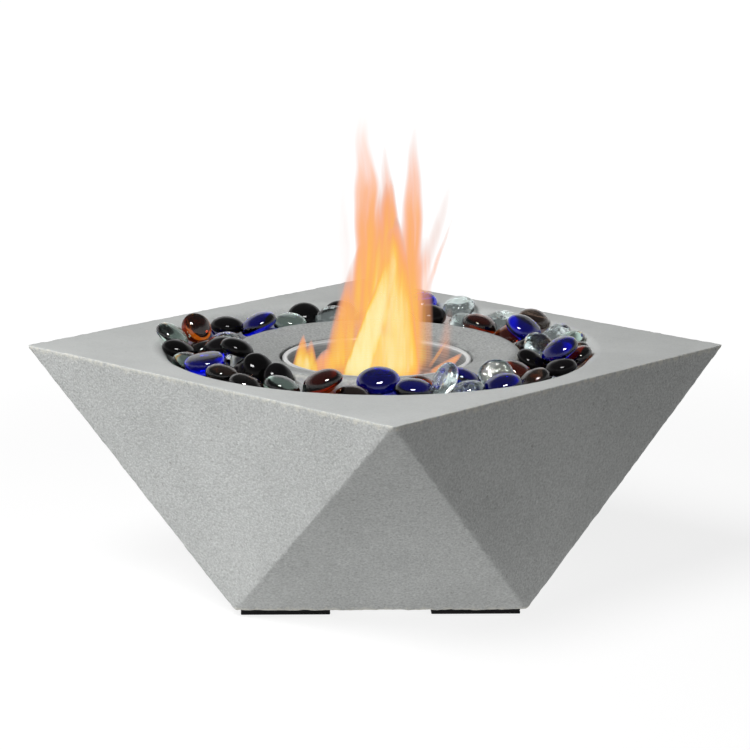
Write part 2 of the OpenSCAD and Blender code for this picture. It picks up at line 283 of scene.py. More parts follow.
@dataclass(frozen=True)
class ConcreteFinish:
    """Cast light grey concrete: sandy on the moulded sides, smoother on the top, darker on the collar."""

    light: Colour = (0.560, 0.573, 0.563)
    dark: Colour = (0.510, 0.523, 0.514)
    speck: Colour = (0.33, 0.33, 0.32)
    # The pale colour of worn edges, also used for the painted highlight along the collar's ridge
    worn: Colour = (0.72, 0.705, 0.625)
    roughness: float = 0.92
    gloss: float = 0.25
    # The upward part of the normal, from a side to a top
    top_face: Span = (0.55, 0.95)
    # Broad pale clouds, which are also a little smoother
    cloud_size: float = 0.05
    clouds: Span = (0.3, 0.7)
    cloud_sheen: float = 0.08
    # Fine grain: its tone all over, what sand and the collar add to it, and its height
    grain_size: float = 0.0012
    grain_tone: float = 0.16
    grain_sand: float = 0.74
    grain_collar: float = 0.36
    grain_depth: float = 0.00040
    grain_top: float = 0.25
    # Coarser lumps
    lump_size: float = 0.006
    lump_tone: float = 0.06
    lump_sand: float = 0.08
    lump_height: float = 0.5
    # Dark specks
    speck_size: float = 0.0026
    specks: Span = (0.70, 0.78)
    speck_share: float = 0.3
    speck_sand: float = 0.4
    # The collar, whose concrete is darker
    collar_edge: Span = (0.0745, 0.0760)
    collar_foot: Span = (0.108, 0.116)
    collar_tone: float = 0.73
    # Sooty patches at the bore's edge, with painted shade of the gap beside the cup
    gap_shade_and_soot_r: Span = (0.0505, 0.0560)
    gap_shade_and_soot: float = 0.30
    gap_shade_and_soot_size: float = 0.018
    gap_shade_and_soot_patches: Span = (0.45, 0.75)
    # A painted highlight along the collar's outer shoulder, in the worn colour
    ridge_r: float = 0.0738
    ridge_w: float = 0.0013
    ridge_foot: Span = (0.112, 0.118)
    ridge_highlight_share: float = 0.7
    # Ragged wear along the cast edges
    wear_size: float = 0.0030
    wear_rag: float = 1.7
    wear_from: Span = (0.55, 0.95)
    wear_near: Span = (0.05, 0.35)
    wear_share: float = 0.65

    def make(self) -> bpy.types.Material:
        """Builds the material.

        Returns:
            The concrete, which reads the piece's edge_wear attribute.
        """
        material, sheet = new_material("cast_concrete")
        place = sheet.place()
        radius = sheet.radius(place)
        height = sheet.along(place, "Z")
        normal = sheet.node("ShaderNodeNewGeometry", output="Normal")
        side = 1 - sheet.along(normal, "Z").stepped(*self.top_face)
        collar = self._collar(radius, height)
        sand = side.math("MAXIMUM", collar)
        cloud = sheet.noise(place, self.cloud_size, detail=4.0, rough=0.6)
        grain = sheet.noise(place, self.grain_size, detail=2.0, rough=0.6)
        lump = sheet.noise(place, self.lump_size, detail=3.0, rough=0.6)
        base = sheet.mix(cloud.stepped(*self.clouds), opaque(self.dark), opaque(self.light))
        grain_share = self.grain_tone + self.grain_sand * sand + self.grain_collar * collar
        lump_share = self.lump_tone + self.lump_sand * sand
        tone = 1 + grain.centred() * grain_share + lump.centred() * lump_share
        # The collar's darker tone, with sooty patches and painted shade of the gap at the bore's edge
        collar_darkening_and_shade = (1 - self.collar_tone + self._gap_shade_and_soot(sheet, place, radius)) * collar
        toned = sheet.scaled(base, tone * (1 - collar_darkening_and_shade))
        specks = sheet.noise(place, self.speck_size, detail=1.0, rough=0.5).stepped(*self.specks)
        sandy = sheet.mix(specks * (self.speck_share + self.speck_sand * sand), toned, opaque(self.speck))
        # Worn cast edges, plus a painted highlight along the collar's ridge
        wear = self._wear_and_ridge_highlight(sheet, place, self._ridge_highlight(radius, height))
        relief = grain * (self.grain_top + (1 - self.grain_top) * sand) + lump * self.lump_height
        shell = sheet.surface(
            Base_Color=sheet.mix(wear, sandy, opaque(self.worn)),
            Roughness=self.roughness - self.cloud_sheen * cloud,
            Specular_IOR_Level=self.gloss,
            Normal=sheet.bump(relief, self.grain_depth),
        )
        sheet.finish(shell)
        return material

    def _wear_and_ridge_highlight(self, sheet: Sheet, place: Wire, ridge: Wire) -> Wire:
        """Finds how much pale colour shows: worn concrete, ragged along the cast edges, and a painted
        highlight on the collar's ridge.

        Args:
            sheet: The concrete's nodes.
            place: The point on the piece.
            ridge: 1 on the collar's ridge, where the painted highlight lies, else 0.

        Returns:
            The share of the worn colour, with the painted highlight.
        """
        edge = sheet.attribute("edge_wear")
        ragged = sheet.noise(place, self.wear_size, detail=4.0, rough=0.7)
        torn = (edge + ragged.centred() * self.wear_rag).stepped(*self.wear_from)
        chipped = torn * edge.stepped(*self.wear_near)
        return chipped * self.wear_share + ridge * ragged * self.ridge_highlight_share

    def _collar(self, radius: Wire, height: Wire) -> Wire:
        """1 on the collar, else 0."""
        return (1 - radius.stepped(*self.collar_edge)) * height.stepped(*self.collar_foot)

    def _gap_shade_and_soot(self, sheet: Sheet, place: Wire, radius: Wire) -> Wire:
        """How much darker the collar is at the bore's edge: sooty patches, with painted shade of the gap
        beside the cup.
        """
        patches = sheet.noise(place, self.gap_shade_and_soot_size, detail=2.0, rough=0.6).stepped(*self.gap_shade_and_soot_patches)
        return (1 - radius.stepped(*self.gap_shade_and_soot_r)) * patches * self.gap_shade_and_soot

    def _ridge_highlight(self, radius: Wire, height: Wire) -> Wire:
        """1 on the painted highlight along the collar's outer shoulder, falling to 0 beside it."""
        off = (radius - self.ridge_r).math("ABSOLUTE")
        return (1 - off / self.ridge_w).clamped() * height.stepped(*self.ridge_foot)


@dataclass(frozen=True)
class SteelFinish:
    """Spun stainless steel: fine rings round the axis, duller below the rim and darker towards the bottom of
    the cup.
    """

    bright: Colour = (0.80, 0.80, 0.79)
    dull: Colour = (0.20, 0.20, 0.20)
    metal: float = 0.7
    roughness: float = 0.22
    # Fine rings, and broader bands of them
    ring_size: float = 0.0011
    rings: Span = (0.42, 0.62)
    ring_share: float = 0.30
    ring_rough: float = 0.2
    ring_depth: float = 0.00006
    band_size: float = 0.0077
    bands: Span = (0.35, 0.65)
    band_share: float = 0.25
    # Stains, and a darker tone towards the bottom of the cup
    stain_size: float = 0.02
    stains: Span = (0.35, 0.7)
    stain_share: float = 0.15
    stain_rough: float = 0.12
    darker_low_z: Span = (0.098, 0.118)
    darker_low_share: float = 0.45
    # Where the wall ends and the bright rim starts
    rim_z: Span = (0.1150, 0.1164)

    def make(self) -> bpy.types.Material:
        """Builds the material.

        Returns:
            The steel, with its rings round the frame's upright axis.
        """
        material, sheet = new_material("spun_steel")
        place = sheet.place()
        height = sheet.along(place, "Z")
        rings_at = sheet.node("ShaderNodeCombineXYZ", feeds={0: sheet.radius(place), 1: height})
        ring = sheet.noise(rings_at, self.ring_size, detail=3.0, rough=0.7)
        band = sheet.noise(rings_at, self.band_size, detail=2.0, rough=0.5)
        stain = sheet.noise(place, self.stain_size, detail=4.0, rough=0.6)
        darker_low = 1 - height.stepped(*self.darker_low_z)
        wall = 1 - height.stepped(*self.rim_z)
        marks = self.band_share * band.stepped(*self.bands) + self.ring_share * ring.stepped(*self.rings)
        stained = marks + self.stain_share * stain.stepped(*self.stains)
        share = (stained + self.darker_low_share * darker_low).clamped() * wall
        shell = sheet.surface(
            Base_Color=sheet.mix(share, opaque(self.bright), opaque(self.dull)),
            Metallic=self.metal,
            Roughness=self.roughness + self.ring_rough * ring + self.stain_rough * stain,
            Normal=sheet.bump(ring, self.ring_depth),
        )
        sheet.finish(shell)
        return material


@dataclass(frozen=True)
class FoamFinish:
    """Black closed-cell foam with fine pores."""

    skin: Colour = (0.016, 0.016, 0.017)
    pore: Colour = (0.004, 0.004, 0.004)
    pore_size: float = 0.0009
    pores: Span = (0.1, 0.5)
    pore_depth: float = 0.00025
    roughness: float = 0.8
    skin_rough: float = 0.15
    gloss: float = 0.2

    def make(self) -> bpy.types.Material:
        """Builds the material.

        Returns:
            The foam.
        """
        material, sheet = new_material("black_foam")
        feeds = {"Vector": sheet.place(), "Scale": 1 / self.pore_size}
        cells = sheet.node("ShaderNodeTexVoronoi", feeds=feeds, output="Distance")
        shell = sheet.surface(
            Base_Color=sheet.mix(cells.stepped(*self.pores), opaque(self.pore), opaque(self.skin)),
            Roughness=self.roughness + self.skin_rough * cells,
            Specular_IOR_Level=self.gloss,
            Normal=sheet.bump(cells, self.pore_depth),
        )
        sheet.finish(shell)
        return material


@dataclass(frozen=True)
class GlassFinish:
    """One colour of pressed glass.

    The body colour is what the stated depth of the glass leaves of white light. The surface goes from the
    tint to the streak's colour.
    """

    name: str
    body: Colour
    tint: Colour
    streak: Colour
    gloss: float
    clearness: float = 1.0
    depth: float = 0.010
    darkest: float = 1e-4
    bending: float = 1.5
    ripple_size: float = 0.006
    ripple_depth: float = 0.00010
    # Streaks in the surface, and how much a pebble's own tone adds to them
    streak_size: float = 0.004
    streaks: Span = (0.45, 0.75)
    streak_share: float = 0.4
    tone_share: float = 0.8
    streak_loss: float = 0.1
    # Dust that dulls the gloss
    dust_size: float = 0.0005
    dust: Span = (0.5, 0.8)
    dust_rough: float = 0.016
    roughness: float = 0.004

    def make(self) -> bpy.types.Material:
        """Builds the material: a rippled surface, and a colour that deepens with the thickness.

        Returns:
            The glass, which reads the piece's tone attribute.
        """
        material, sheet = new_material(self.name)
        place = sheet.place()
        ripple = sheet.noise(place, self.ripple_size, detail=2.0, rough=0.5)
        swirl = sheet.noise(place, self.streak_size, detail=3.0, rough=0.6)
        dust = sheet.noise(place, self.dust_size, detail=2.0, rough=0.6)
        paler = swirl.stepped(*self.streaks) * self.streak_share + sheet.attribute("tone") * self.tone_share
        share = (paler - self.streak_loss).clamped()
        shell = sheet.surface(
            Base_Color=sheet.mix(share, opaque(self.tint), opaque(self.streak)),
            Roughness=self.roughness + self.dust_rough * dust.stepped(*self.dust),
            IOR=self.bending,
            Specular_IOR_Level=self.gloss,
            Transmission_Weight=self.clearness,
            Normal=sheet.bump(ripple, self.ripple_depth),
        )
        sheet.finish(shell, self._absorption(sheet) if self.clearness > 0 else None)
        return material

    def _absorption(self, sheet: Sheet) -> Wire:
        """Makes the volume that leaves the body colour after the stated depth.

        Args:
            sheet: The glass's nodes.

        Returns:
            The volume's shader.
        """
        losses = [-math.log(max(part, self.darkest)) / self.depth for part in self.body]
        density = max(losses)
        kept = tuple(1 - loss / density for loss in losses)
        feeds = {"Color": opaque(kept), "Density": density}
        return sheet.node("ShaderNodeVolumeAbsorption", feeds=feeds)


class Glass(Enum):
    """The pebbles' colours, by the first word of their nodes' names."""

    COBALT = GlassFinish("cobalt_glass", (0.003, 0.14, 0.86), (0.006, 0.04, 0.44), (0.012, 0.18, 0.86), 0.2)
    BLACK = GlassFinish("black_glass", (0, 0, 0), (0.003, 0.003, 0.003), (0.007, 0.006, 0.007), 0.10, 0.0)
    AMBER = GlassFinish("amber_glass", (0.46, 0.15, 0.015), (0.58, 0.26, 0.05), (0.90, 0.46, 0.08), 0.2)
    SMOKE = GlassFinish("smoke_glass", (0.36, 0.29, 0.25), (0.38, 0.32, 0.28), (0.50, 0.42, 0.36), 0.2)
    CLEAR = GlassFinish(
        "clear_glass",
        (0.86, 0.92, 0.92),
        (1.0, 1.0, 1.0),
        (0.86, 0.90, 0.90),
        0.5,
        ripple_size=0.004,
        ripple_depth=0.0008,
    )
    AQUA = GlassFinish("aqua_glass", (0.74, 0.84, 0.80), (0.94, 0.98, 0.96), (0.78, 0.86, 0.82), 0.5)


class Bench:
    """The hand moves that every piece shares."""

    @staticmethod
    def clear() -> None:
        """Leaves edit mode and deselects everything."""
        if bpy.context.mode != "OBJECT":
            bpy.ops.object.mode_set(mode="OBJECT")
        bpy.ops.object.select_all(action="DESELECT")

    @staticmethod
    def choose(*pieces: bpy.types.Object) -> None:
        """Selects some pieces alone.

        Args:
            pieces: The pieces, the active one first.
        """
        Bench.clear()
        for piece in pieces:
            piece.select_set(True)
        bpy.context.view_layer.objects.active = pieces[0]

    @staticmethod
    def take(name: str) -> bpy.types.Object:
        """Names the object just added and moves its place into its mesh.

        Args:
            name: The name for the object and its mesh.

        Returns:
            The object, at the origin.
        """
        piece = bpy.context.object
        piece.name = name
        piece.data.name = name
        bpy.ops.object.transform_apply(location=True, rotation=True, scale=True)
        return piece

    @staticmethod
    @contextmanager
    def editing(piece: bpy.types.Object, mode: str = "VERT", keep: bool = False) -> Iterator[None]:
        """Edit mode on one piece.

        Args:
            piece: The piece to edit.
            mode: What is selected: VERT, EDGE or FACE.
            keep: Whether what was picked before stays selected, and all else is left.

        Yields:
            Nothing; edit mode lasts as long as the block.
        """
        Bench.choose(piece)
        bpy.context.tool_settings.mesh_select_mode = tuple(mode == kind for kind in ("VERT", "EDGE", "FACE"))
        bpy.ops.object.mode_set(mode="EDIT")
        if not keep:
            bpy.ops.mesh.select_all(action="SELECT")
        yield
        bpy.ops.object.mode_set(mode="OBJECT")

    @staticmethod
    def pick(piece: bpy.types.Object, kind: str, test: Callable[[object], bool]) -> None:
        """Picks some of a piece's elements, in object mode.

        Args:
            piece: The piece.
            kind: vertices, edges or polygons.
            test: Says whether an element is picked.
        """
        mesh = piece.data
        for group in (mesh.vertices, mesh.edges, mesh.polygons):
            group.foreach_set("select", [False] * len(group))
        for item in getattr(mesh, kind):
            item.select = test(item)

    @staticmethod
    def modify(piece: bpy.types.Object, kind: str, **settings: object) -> None:
        """Adds one modifier and applies it.

        Args:
            piece: The piece.
            kind: The modifier's type.
            settings: The modifier's settings by name.
        """
        Bench.choose(piece)
        modifier = piece.modifiers.new(kind.title(), kind)
        for name, value in settings.items():
            setattr(modifier, name, value)
        bpy.ops.object.modifier_apply(modifier=modifier.name)

    @staticmethod
    def join(*pieces: bpy.types.Object) -> bpy.types.Object:
        """Joins pieces into one.

        Args:
            pieces: The pieces; the first takes in the others.

        Returns:
            The first piece.
        """
        Bench.choose(*pieces)
        bpy.ops.object.join()
        return pieces[0]

    @staticmethod
    def lathe(name: str, section: Sequence[Point], steps: int) -> bpy.types.Object:
        """Spins a section round the axis.

        Args:
            name: The piece's name.
            section: Points as radius and height, in order.
            steps: Steps round the axis.

        Returns:
            The spun surface, open where the section is.
        """
        Bench.clear()
        radius, height = section[0]
        bpy.ops.mesh.primitive_plane_add(size=WELD, location=(radius, 0.0, height))
        piece = Bench.take(name)
        with Bench.editing(piece):
            bpy.ops.mesh.merge(type="CENTER")
            for here, there in pairwise(section):
                step = (there[0] - here[0], 0.0, there[1] - here[1])
                bpy.ops.mesh.extrude_vertices_move(TRANSFORM_OT_translate={"value": step})
            bpy.ops.mesh.select_all(action="SELECT")
            bpy.ops.mesh.spin(steps=steps, angle=2 * math.pi, center=(0, 0, 0), axis=(0, 0, 1))
            bpy.ops.mesh.select_all(action="SELECT")
            bpy.ops.mesh.remove_doubles(threshold=WELD)
            bpy.ops.mesh.normals_make_consistent(inside=False)
        return piece

    @staticmethod
    def smooth(piece: bpy.types.Object, angle: float) -> None:
        """Shades a piece smooth, but for edges sharper than an angle in degrees."""
        Bench.choose(piece)
        bpy.ops.object.shade_smooth_by_angle(angle=math.radians(angle))

    @staticmethod
    def dress(piece: bpy.types.Object, material: bpy.types.Material) -> None:
        """Gives a piece one material all over."""
        piece.data.materials.clear()
        piece.data.materials.append(material)


def arc(centre: Point, radius: float, start: float, end: float, steps: int) -> list[Point]:
    """Points along an arc, from one angle to another in degrees."""
    turns = [math.radians(start + (end - start) * i / steps) for i in range(steps + 1)]
    return [(centre[0] + radius * math.cos(t), centre[1] + radius * math.sin(t)) for t in turns]


def stand_in(piece: bpy.types.Object, node: str, body: str) -> None:
    """Shows a piece in place of a CAD node.

    Args:
        piece: The finished piece.
        node: The CAD node that it stands for.
        body: The body that the node moves with.
    """
    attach(piece, body)
    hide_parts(node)
    LOG.info("%s stands for %s, with %d faces", piece.name, node, len(piece.data.polygons))


@dataclass
class ConcreteBody:
    """The casting: eight facets between a square top and a smaller square base turned by 45 degrees.

    Slopes and angles are in degrees.
    """

    base_side: float = 0.147
    wall: float = 0.013
    tip_round: float = 0.0010
    # The moat, its lip and the fillets at its floor
    moat_r: float = 0.1165
    moat_depth: float = 0.020
    moat_slope: float = 20.0
    lip_r: float = 0.009
    lip_steps: int = 10
    floor_r: float = 0.004
    floor_steps: int = 6
    # The collar, its round crown and the shallow dish inside it
    collar_r: float = 0.0755
    collar_slope: float = 6.0
    crown_drop: float = 0.0016
    crown_r: float = 0.005
    crown_steps: int = 10
    dish: float = 12.5
    dish_steps: int = 12
    # The bore that the cup stands in
    bore_r: float = 0.0502
    bore_steps: int = 8
    bore_edge_r: float = 0.0009
    bore_edge_steps: int = 5
    bore_floor_rings: tuple[float, ...] = (0.3, 0.6, 0.9)
    rim_drop: float = 0.0045
    cup_h: float = 0.044
    # Cells along a facet's edge, and cuts across the flat top
    cells: int = 81
    top_cuts: int = 7
    # Rounded and chipped edges, faces that wander, and worn corners at the base
    sharp_angle: float = 25.0
    smooth_angle: float = 40.0
    edge_bevel: float = 0.0016
    edge_segments: int = 3
    chip: float = 0.0011
    chip_size: float = 0.004
    chip_middle: float = 0.6
    sway: float = 0.0005
    sway_size: float = 0.05
    sway_middle: float = 0.5
    cloud_layers: int = 2
    corner_reach: float = 0.008
    corner_smooth: float = 0.5
    corner_passes: int = 8
    wear_reach: float = 0.0052
    ridge_wear: float = 0.35
    finish: ConcreteFinish = field(default_factory=ConcreteFinish)

    def __post_init__(self) -> None:
        """Takes the outer sizes from the CAD node's box, with what rounding takes off the tips added."""
        low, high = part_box("concrete_body")
        self.top_r = high.x + self.tip_round
        self.base_z = low.z
        self.top_z = high.z
        self.crown_z = self.top_z - self.crown_drop
        self.cup_z = self.crown_z - self.rim_drop - self.cup_h

    def build(self) -> bpy.types.Object:
        """Models and dresses the casting.

        Returns:
            The finished piece.
        """
        steps = 4 * self.cells
        facets = self._facets()
        bed = Bench.lathe("bed", self._bed_section(), steps)
        hollow = Bench.lathe("hollow", self._hollow_section(), steps)
        body = Bench.join(facets, bed, hollow)
        self._pick_rims(body, self.top_z)
        with Bench.editing(body, "EDGE", keep=True):
            bpy.ops.mesh.bridge_edge_loops(
                number_cuts=self.top_cuts, interpolation="LINEAR", smoothness=0.0
            )
        self._pick_rims(body, self.base_z)
        with Bench.editing(body, "EDGE", keep=True):
            bpy.ops.mesh.fill(use_beauty=True)
        with Bench.editing(body):
            bpy.ops.mesh.remove_doubles(threshold=WELD)
            bpy.ops.mesh.normals_make_consistent(inside=False)
        self._break_edges(body)
        self._mark_wear(body)
        Bench.smooth(body, self.smooth_angle)
        Bench.modify(body, "WEIGHTED_NORMAL", weight=100, keep_sharp=True)
        Bench.dress(body, self.finish.make())
        stand_in(body, "concrete_body", PIT)
        return body

    def _facets(self) -> bpy.types.Object:
        """Models the eight side facets, in small triangles.

        Returns:
            The facets, open at the top and at the base.
        """
        Bench.clear()
        bpy.ops.mesh.primitive_circle_add(
            vertices=4, radius=self.top_r, fill_type="NGON", location=(0, 0, self.top_z)
        )
        body = Bench.take("cast_body")
        with Bench.editing(body):
            bpy.ops.mesh.primitive_circle_add(
                vertices=4,
                radius=self.base_side / math.sqrt(2),
                fill_type="NGON",
                location=(0, 0, self.base_z),
                rotation=(0, 0, math.pi / 4),
            )
            bpy.ops.mesh.select_all(action="SELECT")
            bpy.ops.mesh.convex_hull()
        Bench.pick(body, "polygons", lambda face: abs(face.normal.z) > 1 - LEVEL)
        with Bench.editing(body, "FACE", keep=True):
            bpy.ops.mesh.delete(type="ONLY_FACE")
        Bench.pick(body, "edges", lambda edge: edge.is_loose)
        with Bench.editing(body, "EDGE", keep=True):
            bpy.ops.mesh.delete(type="EDGE")
        with Bench.editing(body):
            bpy.ops.mesh.subdivide(number_cuts=self.cells - 1)
        return body

    def _bed_section(self) -> list[Point]:
        """Draws the casting's top.

        Returns:
            Points from the middle of the bore's floor out to the moat's lip.
        """
        crown = Vector((self.collar_r - self.crown_r, self.crown_z - self.crown_r))
        dish = math.radians(self.dish)
        uphill = Vector((-math.sin(dish), math.cos(dish)))
        brow = crown + uphill * self.crown_r
        edge_x = self.bore_r + self.bore_edge_r
        inner_x = edge_x + uphill.x * self.bore_edge_r
        inner = Vector((inner_x, brow.y - (brow.x - inner_x) * math.tan(dish)))
        edge_z = inner.y - uphill.y * self.bore_edge_r
        bore_h = edge_z - self.cup_z
        floor_z = self.top_z - self.moat_depth
        lean = math.radians(self.collar_slope)
        drop = crown.y + self.crown_r * math.sin(lean) - floor_z
        collar_foot = crown.x + self.crown_r * math.cos(lean) + drop * math.tan(lean)
        collar_room = self.floor_r * math.tan(math.pi / 4 - lean / 2)
        tilt = math.radians(self.moat_slope)
        fall = self.top_z - self.lip_r + self.lip_r * math.sin(tilt) - floor_z
        moat_foot = self.moat_r - self.lip_r * math.cos(tilt) - fall * math.tan(tilt)
        moat_room = self.floor_r * math.tan(math.pi / 4 - tilt / 2)
        bottom = floor_z + self.floor_r
        lip = (self.moat_r, self.top_z - self.lip_r)
        inner_foot = (collar_foot + collar_room, bottom)
        outer_foot = (moat_foot - moat_room, bottom)
        return [
            (0.0, self.cup_z),
            *[(self.bore_r * share, self.cup_z) for share in self.bore_floor_rings],
            (self.bore_r, self.cup_z),
            *[(self.bore_r, self.cup_z + bore_h * i / self.bore_steps) for i in range(1, self.bore_steps)],
            *arc((edge_x, edge_z), self.bore_edge_r, 180, 90 + self.dish, self.bore_edge_steps),
            *[tuple(inner.lerp(brow, i / self.dish_steps)) for i in range(1, self.dish_steps)],
            *arc(tuple(crown), self.crown_r, 90 + self.dish, self.collar_slope, self.crown_steps),
            *arc(inner_foot, self.floor_r, 180 + self.collar_slope, 270, self.floor_steps),
            *arc(outer_foot, self.floor_r, 270, 360 - self.moat_slope, self.floor_steps),
            *arc(lip, self.lip_r, 180 - self.moat_slope, 90, self.lip_steps),
        ]

    def _hollow_section(self) -> list[Point]:
        """Draws the hollow underneath.

        Returns:
            Points from its mouth up to the middle of its roof.
        """
        height = self.top_z - self.base_z
        corner_run = (self.top_r - self.base_side / 2) / height
        edge_run = (self.top_r - self.base_side) / math.sqrt(2) / height
        mouth = self.base_side / 2 - self.wall
        waist = self.base_side / math.sqrt(2) - self.wall
        waist_z = self.base_z + (waist - mouth) / (corner_run - edge_run)
        roof_z = self.top_z - self.moat_depth - self.wall
        core = self.bore_r + self.wall
        core_z = self.cup_z - self.wall
        outer = waist + (roof_z - waist_z) * edge_run
        return [
            (mouth, self.base_z),
            (waist, waist_z),
            (outer, roof_z),
            (core, roof_z),
            (core, core_z),
            (core / 2, core_z),
            (0.0, core_z),
        ]

    @staticmethod
    def _pick_rims(body: bpy.types.Object, height: float) -> None:
        """Picks a round opening's open edges and those of the square round it.

        Args:
            body: The casting, still open there.
            height: The height of these edges.
        """
        counts = np.zeros(len(body.data.edges), int)
        for face in body.data.polygons:
            for key in face.loop_indices:
                counts[body.data.loops[key].edge_index] += 1
        points = body.data.vertices

        def is_rim(edge: bpy.types.MeshEdge) -> bool:
            """Whether an edge is an open one at this height."""
            level = all(abs(points[i].co.z - height) < LEVEL for i in edge.vertices)
            return level and counts[edge.index] == 1

        Bench.pick(body, "edges", is_rim)

    def _break_edges(self, body: bpy.types.Object) -> None:
        """Rounds the cast edges, chips them a little and lets the faces wander as a mould does.

        Args:
            body: The closed casting.
        """
        with Bench.editing(body, "EDGE"):
            bpy.ops.mesh.select_all(action="DESELECT")
            bpy.ops.mesh.edges_select_sharp(sharpness=math.radians(self.sharp_angle))
            bpy.ops.object.vertex_group_assign_new()
            bpy.ops.mesh.bevel(
                offset=self.edge_bevel, segments=self.edge_segments, affect="EDGES", clamp_overlap=True
            )
        body.vertex_groups[0].name = "edges"
        half = self.base_side / 2
        spots = [Vector((x * half, y * half, self.base_z)) for x in (-1, 1) for y in (-1, 1)]

        def is_near(point: bpy.types.MeshVertex) -> bool:
            """Whether a point is close to one of the base's corners."""
            return min((point.co - spot).length for spot in spots) < self.corner_reach

        corners = body.vertex_groups.new(name="corners")
        corners.add([point.index for point in body.data.vertices if is_near(point)], 1.0, "REPLACE")
        Bench.modify(
            body, "SMOOTH", factor=self.corner_smooth, iterations=self.corner_passes, vertex_group="corners"
        )
        chips = self._cloud("chips", self.chip_size)
        sway = self._cloud("sway", self.sway_size)
        Bench.modify(
            body,
            "DISPLACE",
            texture=chips,
            strength=self.chip,
            mid_level=self.chip_middle,
            vertex_group="edges",
        )
        Bench.modify(body, "DISPLACE", texture=sway, strength=self.sway, mid_level=self.sway_middle)

    def _cloud(self, name: str, size: float) -> bpy.types.Texture:
        """Makes a cloudy texture for a Displace modifier.

        Args:
            name: The texture's name.
            size: The size of its blots.

        Returns:
            The texture.
        """
        texture = bpy.data.textures.new(name, "CLOUDS")
        texture.noise_scale = size
        texture.noise_depth = self.cloud_layers
        return texture

    def _outer_edges(self) -> list[tuple[np.ndarray, np.ndarray, float]]:
        """Lists the casting's outer edges.

        Returns:
            Each edge's two ends and the most that it is worn, which is less on the ridges between facets.
        """
        half = self.base_side / 2
        quarter = [(1, 0), (0, 1), (-1, 0), (0, -1)]
        diagonal = [(1, 1), (-1, 1), (-1, -1), (1, -1)]
        tops = [np.array([x * self.top_r, y * self.top_r, self.top_z]) for x, y in quarter]
        bases = [np.array([x * half, y * half, self.base_z]) for x, y in diagonal]
        edges = []
        for i in range(4):
            after = (i + 1) % 4
            edges += [(tops[i], tops[after], 1.0), (bases[i], bases[after], 1.0)]
            edges += [(tops[i], bases[i], self.ridge_wear), (tops[after], bases[i], self.ridge_wear)]
        return edges

    def _mark_wear(self, body: bpy.types.Object) -> None:
        """Stores at each point how worn it is, from its distance to the outer edges.

        Args:
            body: The casting, which gets an edge_wear attribute.
        """
        mesh = body.data
        points = np.empty(3 * len(mesh.vertices), np.float32)
        mesh.vertices.foreach_get("co", points)
        points = points.reshape(-1, 3)
        nearest = np.full(len(points), np.inf)
        wear = np.zeros(len(points))
        for start, end, most in self._outer_edges():
            run = end - start
            share = np.clip((points - start) @ run / (run @ run), 0, 1)
            away = np.linalg.norm(points - start - share[:, None] * run, axis=1)
            nearest = np.minimum(nearest, away)
            wear = np.maximum(wear, most * np.exp(-away / self.wear_reach))
        level = points[:, 2] > self.top_z - self.edge_bevel / 2
        wear[level] = np.clip(1 - nearest[level] / self.edge_bevel, 0, 1)
        attribute = mesh.attributes.new("edge_wear", "FLOAT", "POINT")
        attribute.data.foreach_set("value", wear.astype(np.float32))


@dataclass
class FuelCup:
    """The spun steel cup with its rolled rim."""

    wall_r: float = 0.047
    sheet: float = 0.0008
    wall_steps: int = 8
    # The rolled rim, from the wall's outside over the top to its inside, in degrees
    rim_r: float = 0.0014
    roll: Span = (290, 540)
    roll_steps: int = 20
    foot_r: float = 0.006
    foot_steps: int = 8
    # A low ring pressed into the floor
    bead_r: float = 0.030
    bead_half: float = 0.004
    bead_h: float = 0.0008
    bead_steps: int = 8
    steps: int = 160
    smooth_angle: float = 35.0
    finish: SteelFinish = field(default_factory=SteelFinish)

    def build(self) -> bpy.types.Object:
        """Models and dresses the cup.

        Returns:
            The finished piece.
        """
        low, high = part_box("fuel_cup")
        inside = self.wall_r - self.sheet
        foot = (self.wall_r - self.foot_r, low.z + self.foot_r)
        roll = (inside + self.rim_r, high.z - self.rim_r)
        under_roll = high.z - 2 * self.rim_r
        fall = foot[1] - roll[1]
        section = [
            (0.0, low.z),
            (foot[0] / 2, low.z),
            *arc(foot, self.foot_r, 270, 360, self.foot_steps),
            (self.wall_r, (foot[1] + under_roll) / 2),
            (self.wall_r, under_roll),
            *arc(roll, self.rim_r, *self.roll, self.roll_steps),
            *[(inside, roll[1] + fall * i / self.wall_steps) for i in range(1, self.wall_steps)],
            *arc(foot, self.foot_r - self.sheet, 360, 270, self.foot_steps),
            *self._bead(low.z + self.sheet),
            (0.0, low.z + self.sheet),
        ]
        cup = Bench.lathe("spun_cup", section, self.steps)
        Bench.smooth(cup, self.smooth_angle)
        Bench.dress(cup, self.finish.make())
        stand_in(cup, "fuel_cup", CUP)
        return cup

    def _bead(self, floor: float) -> list[Point]:
        """Draws the ring in the cup's floor.

        Args:
            floor: The height of the floor's upper face.

        Returns:
            Points from the ring's outside to its inside.
        """
        shares = [i / self.bead_steps for i in range(self.bead_steps + 1)]
        out = self.bead_r + self.bead_half
        wide = 2 * self.bead_half
        return [(out - wide * share, floor + self.bead_h * math.sin(math.pi * share)) for share in shares]


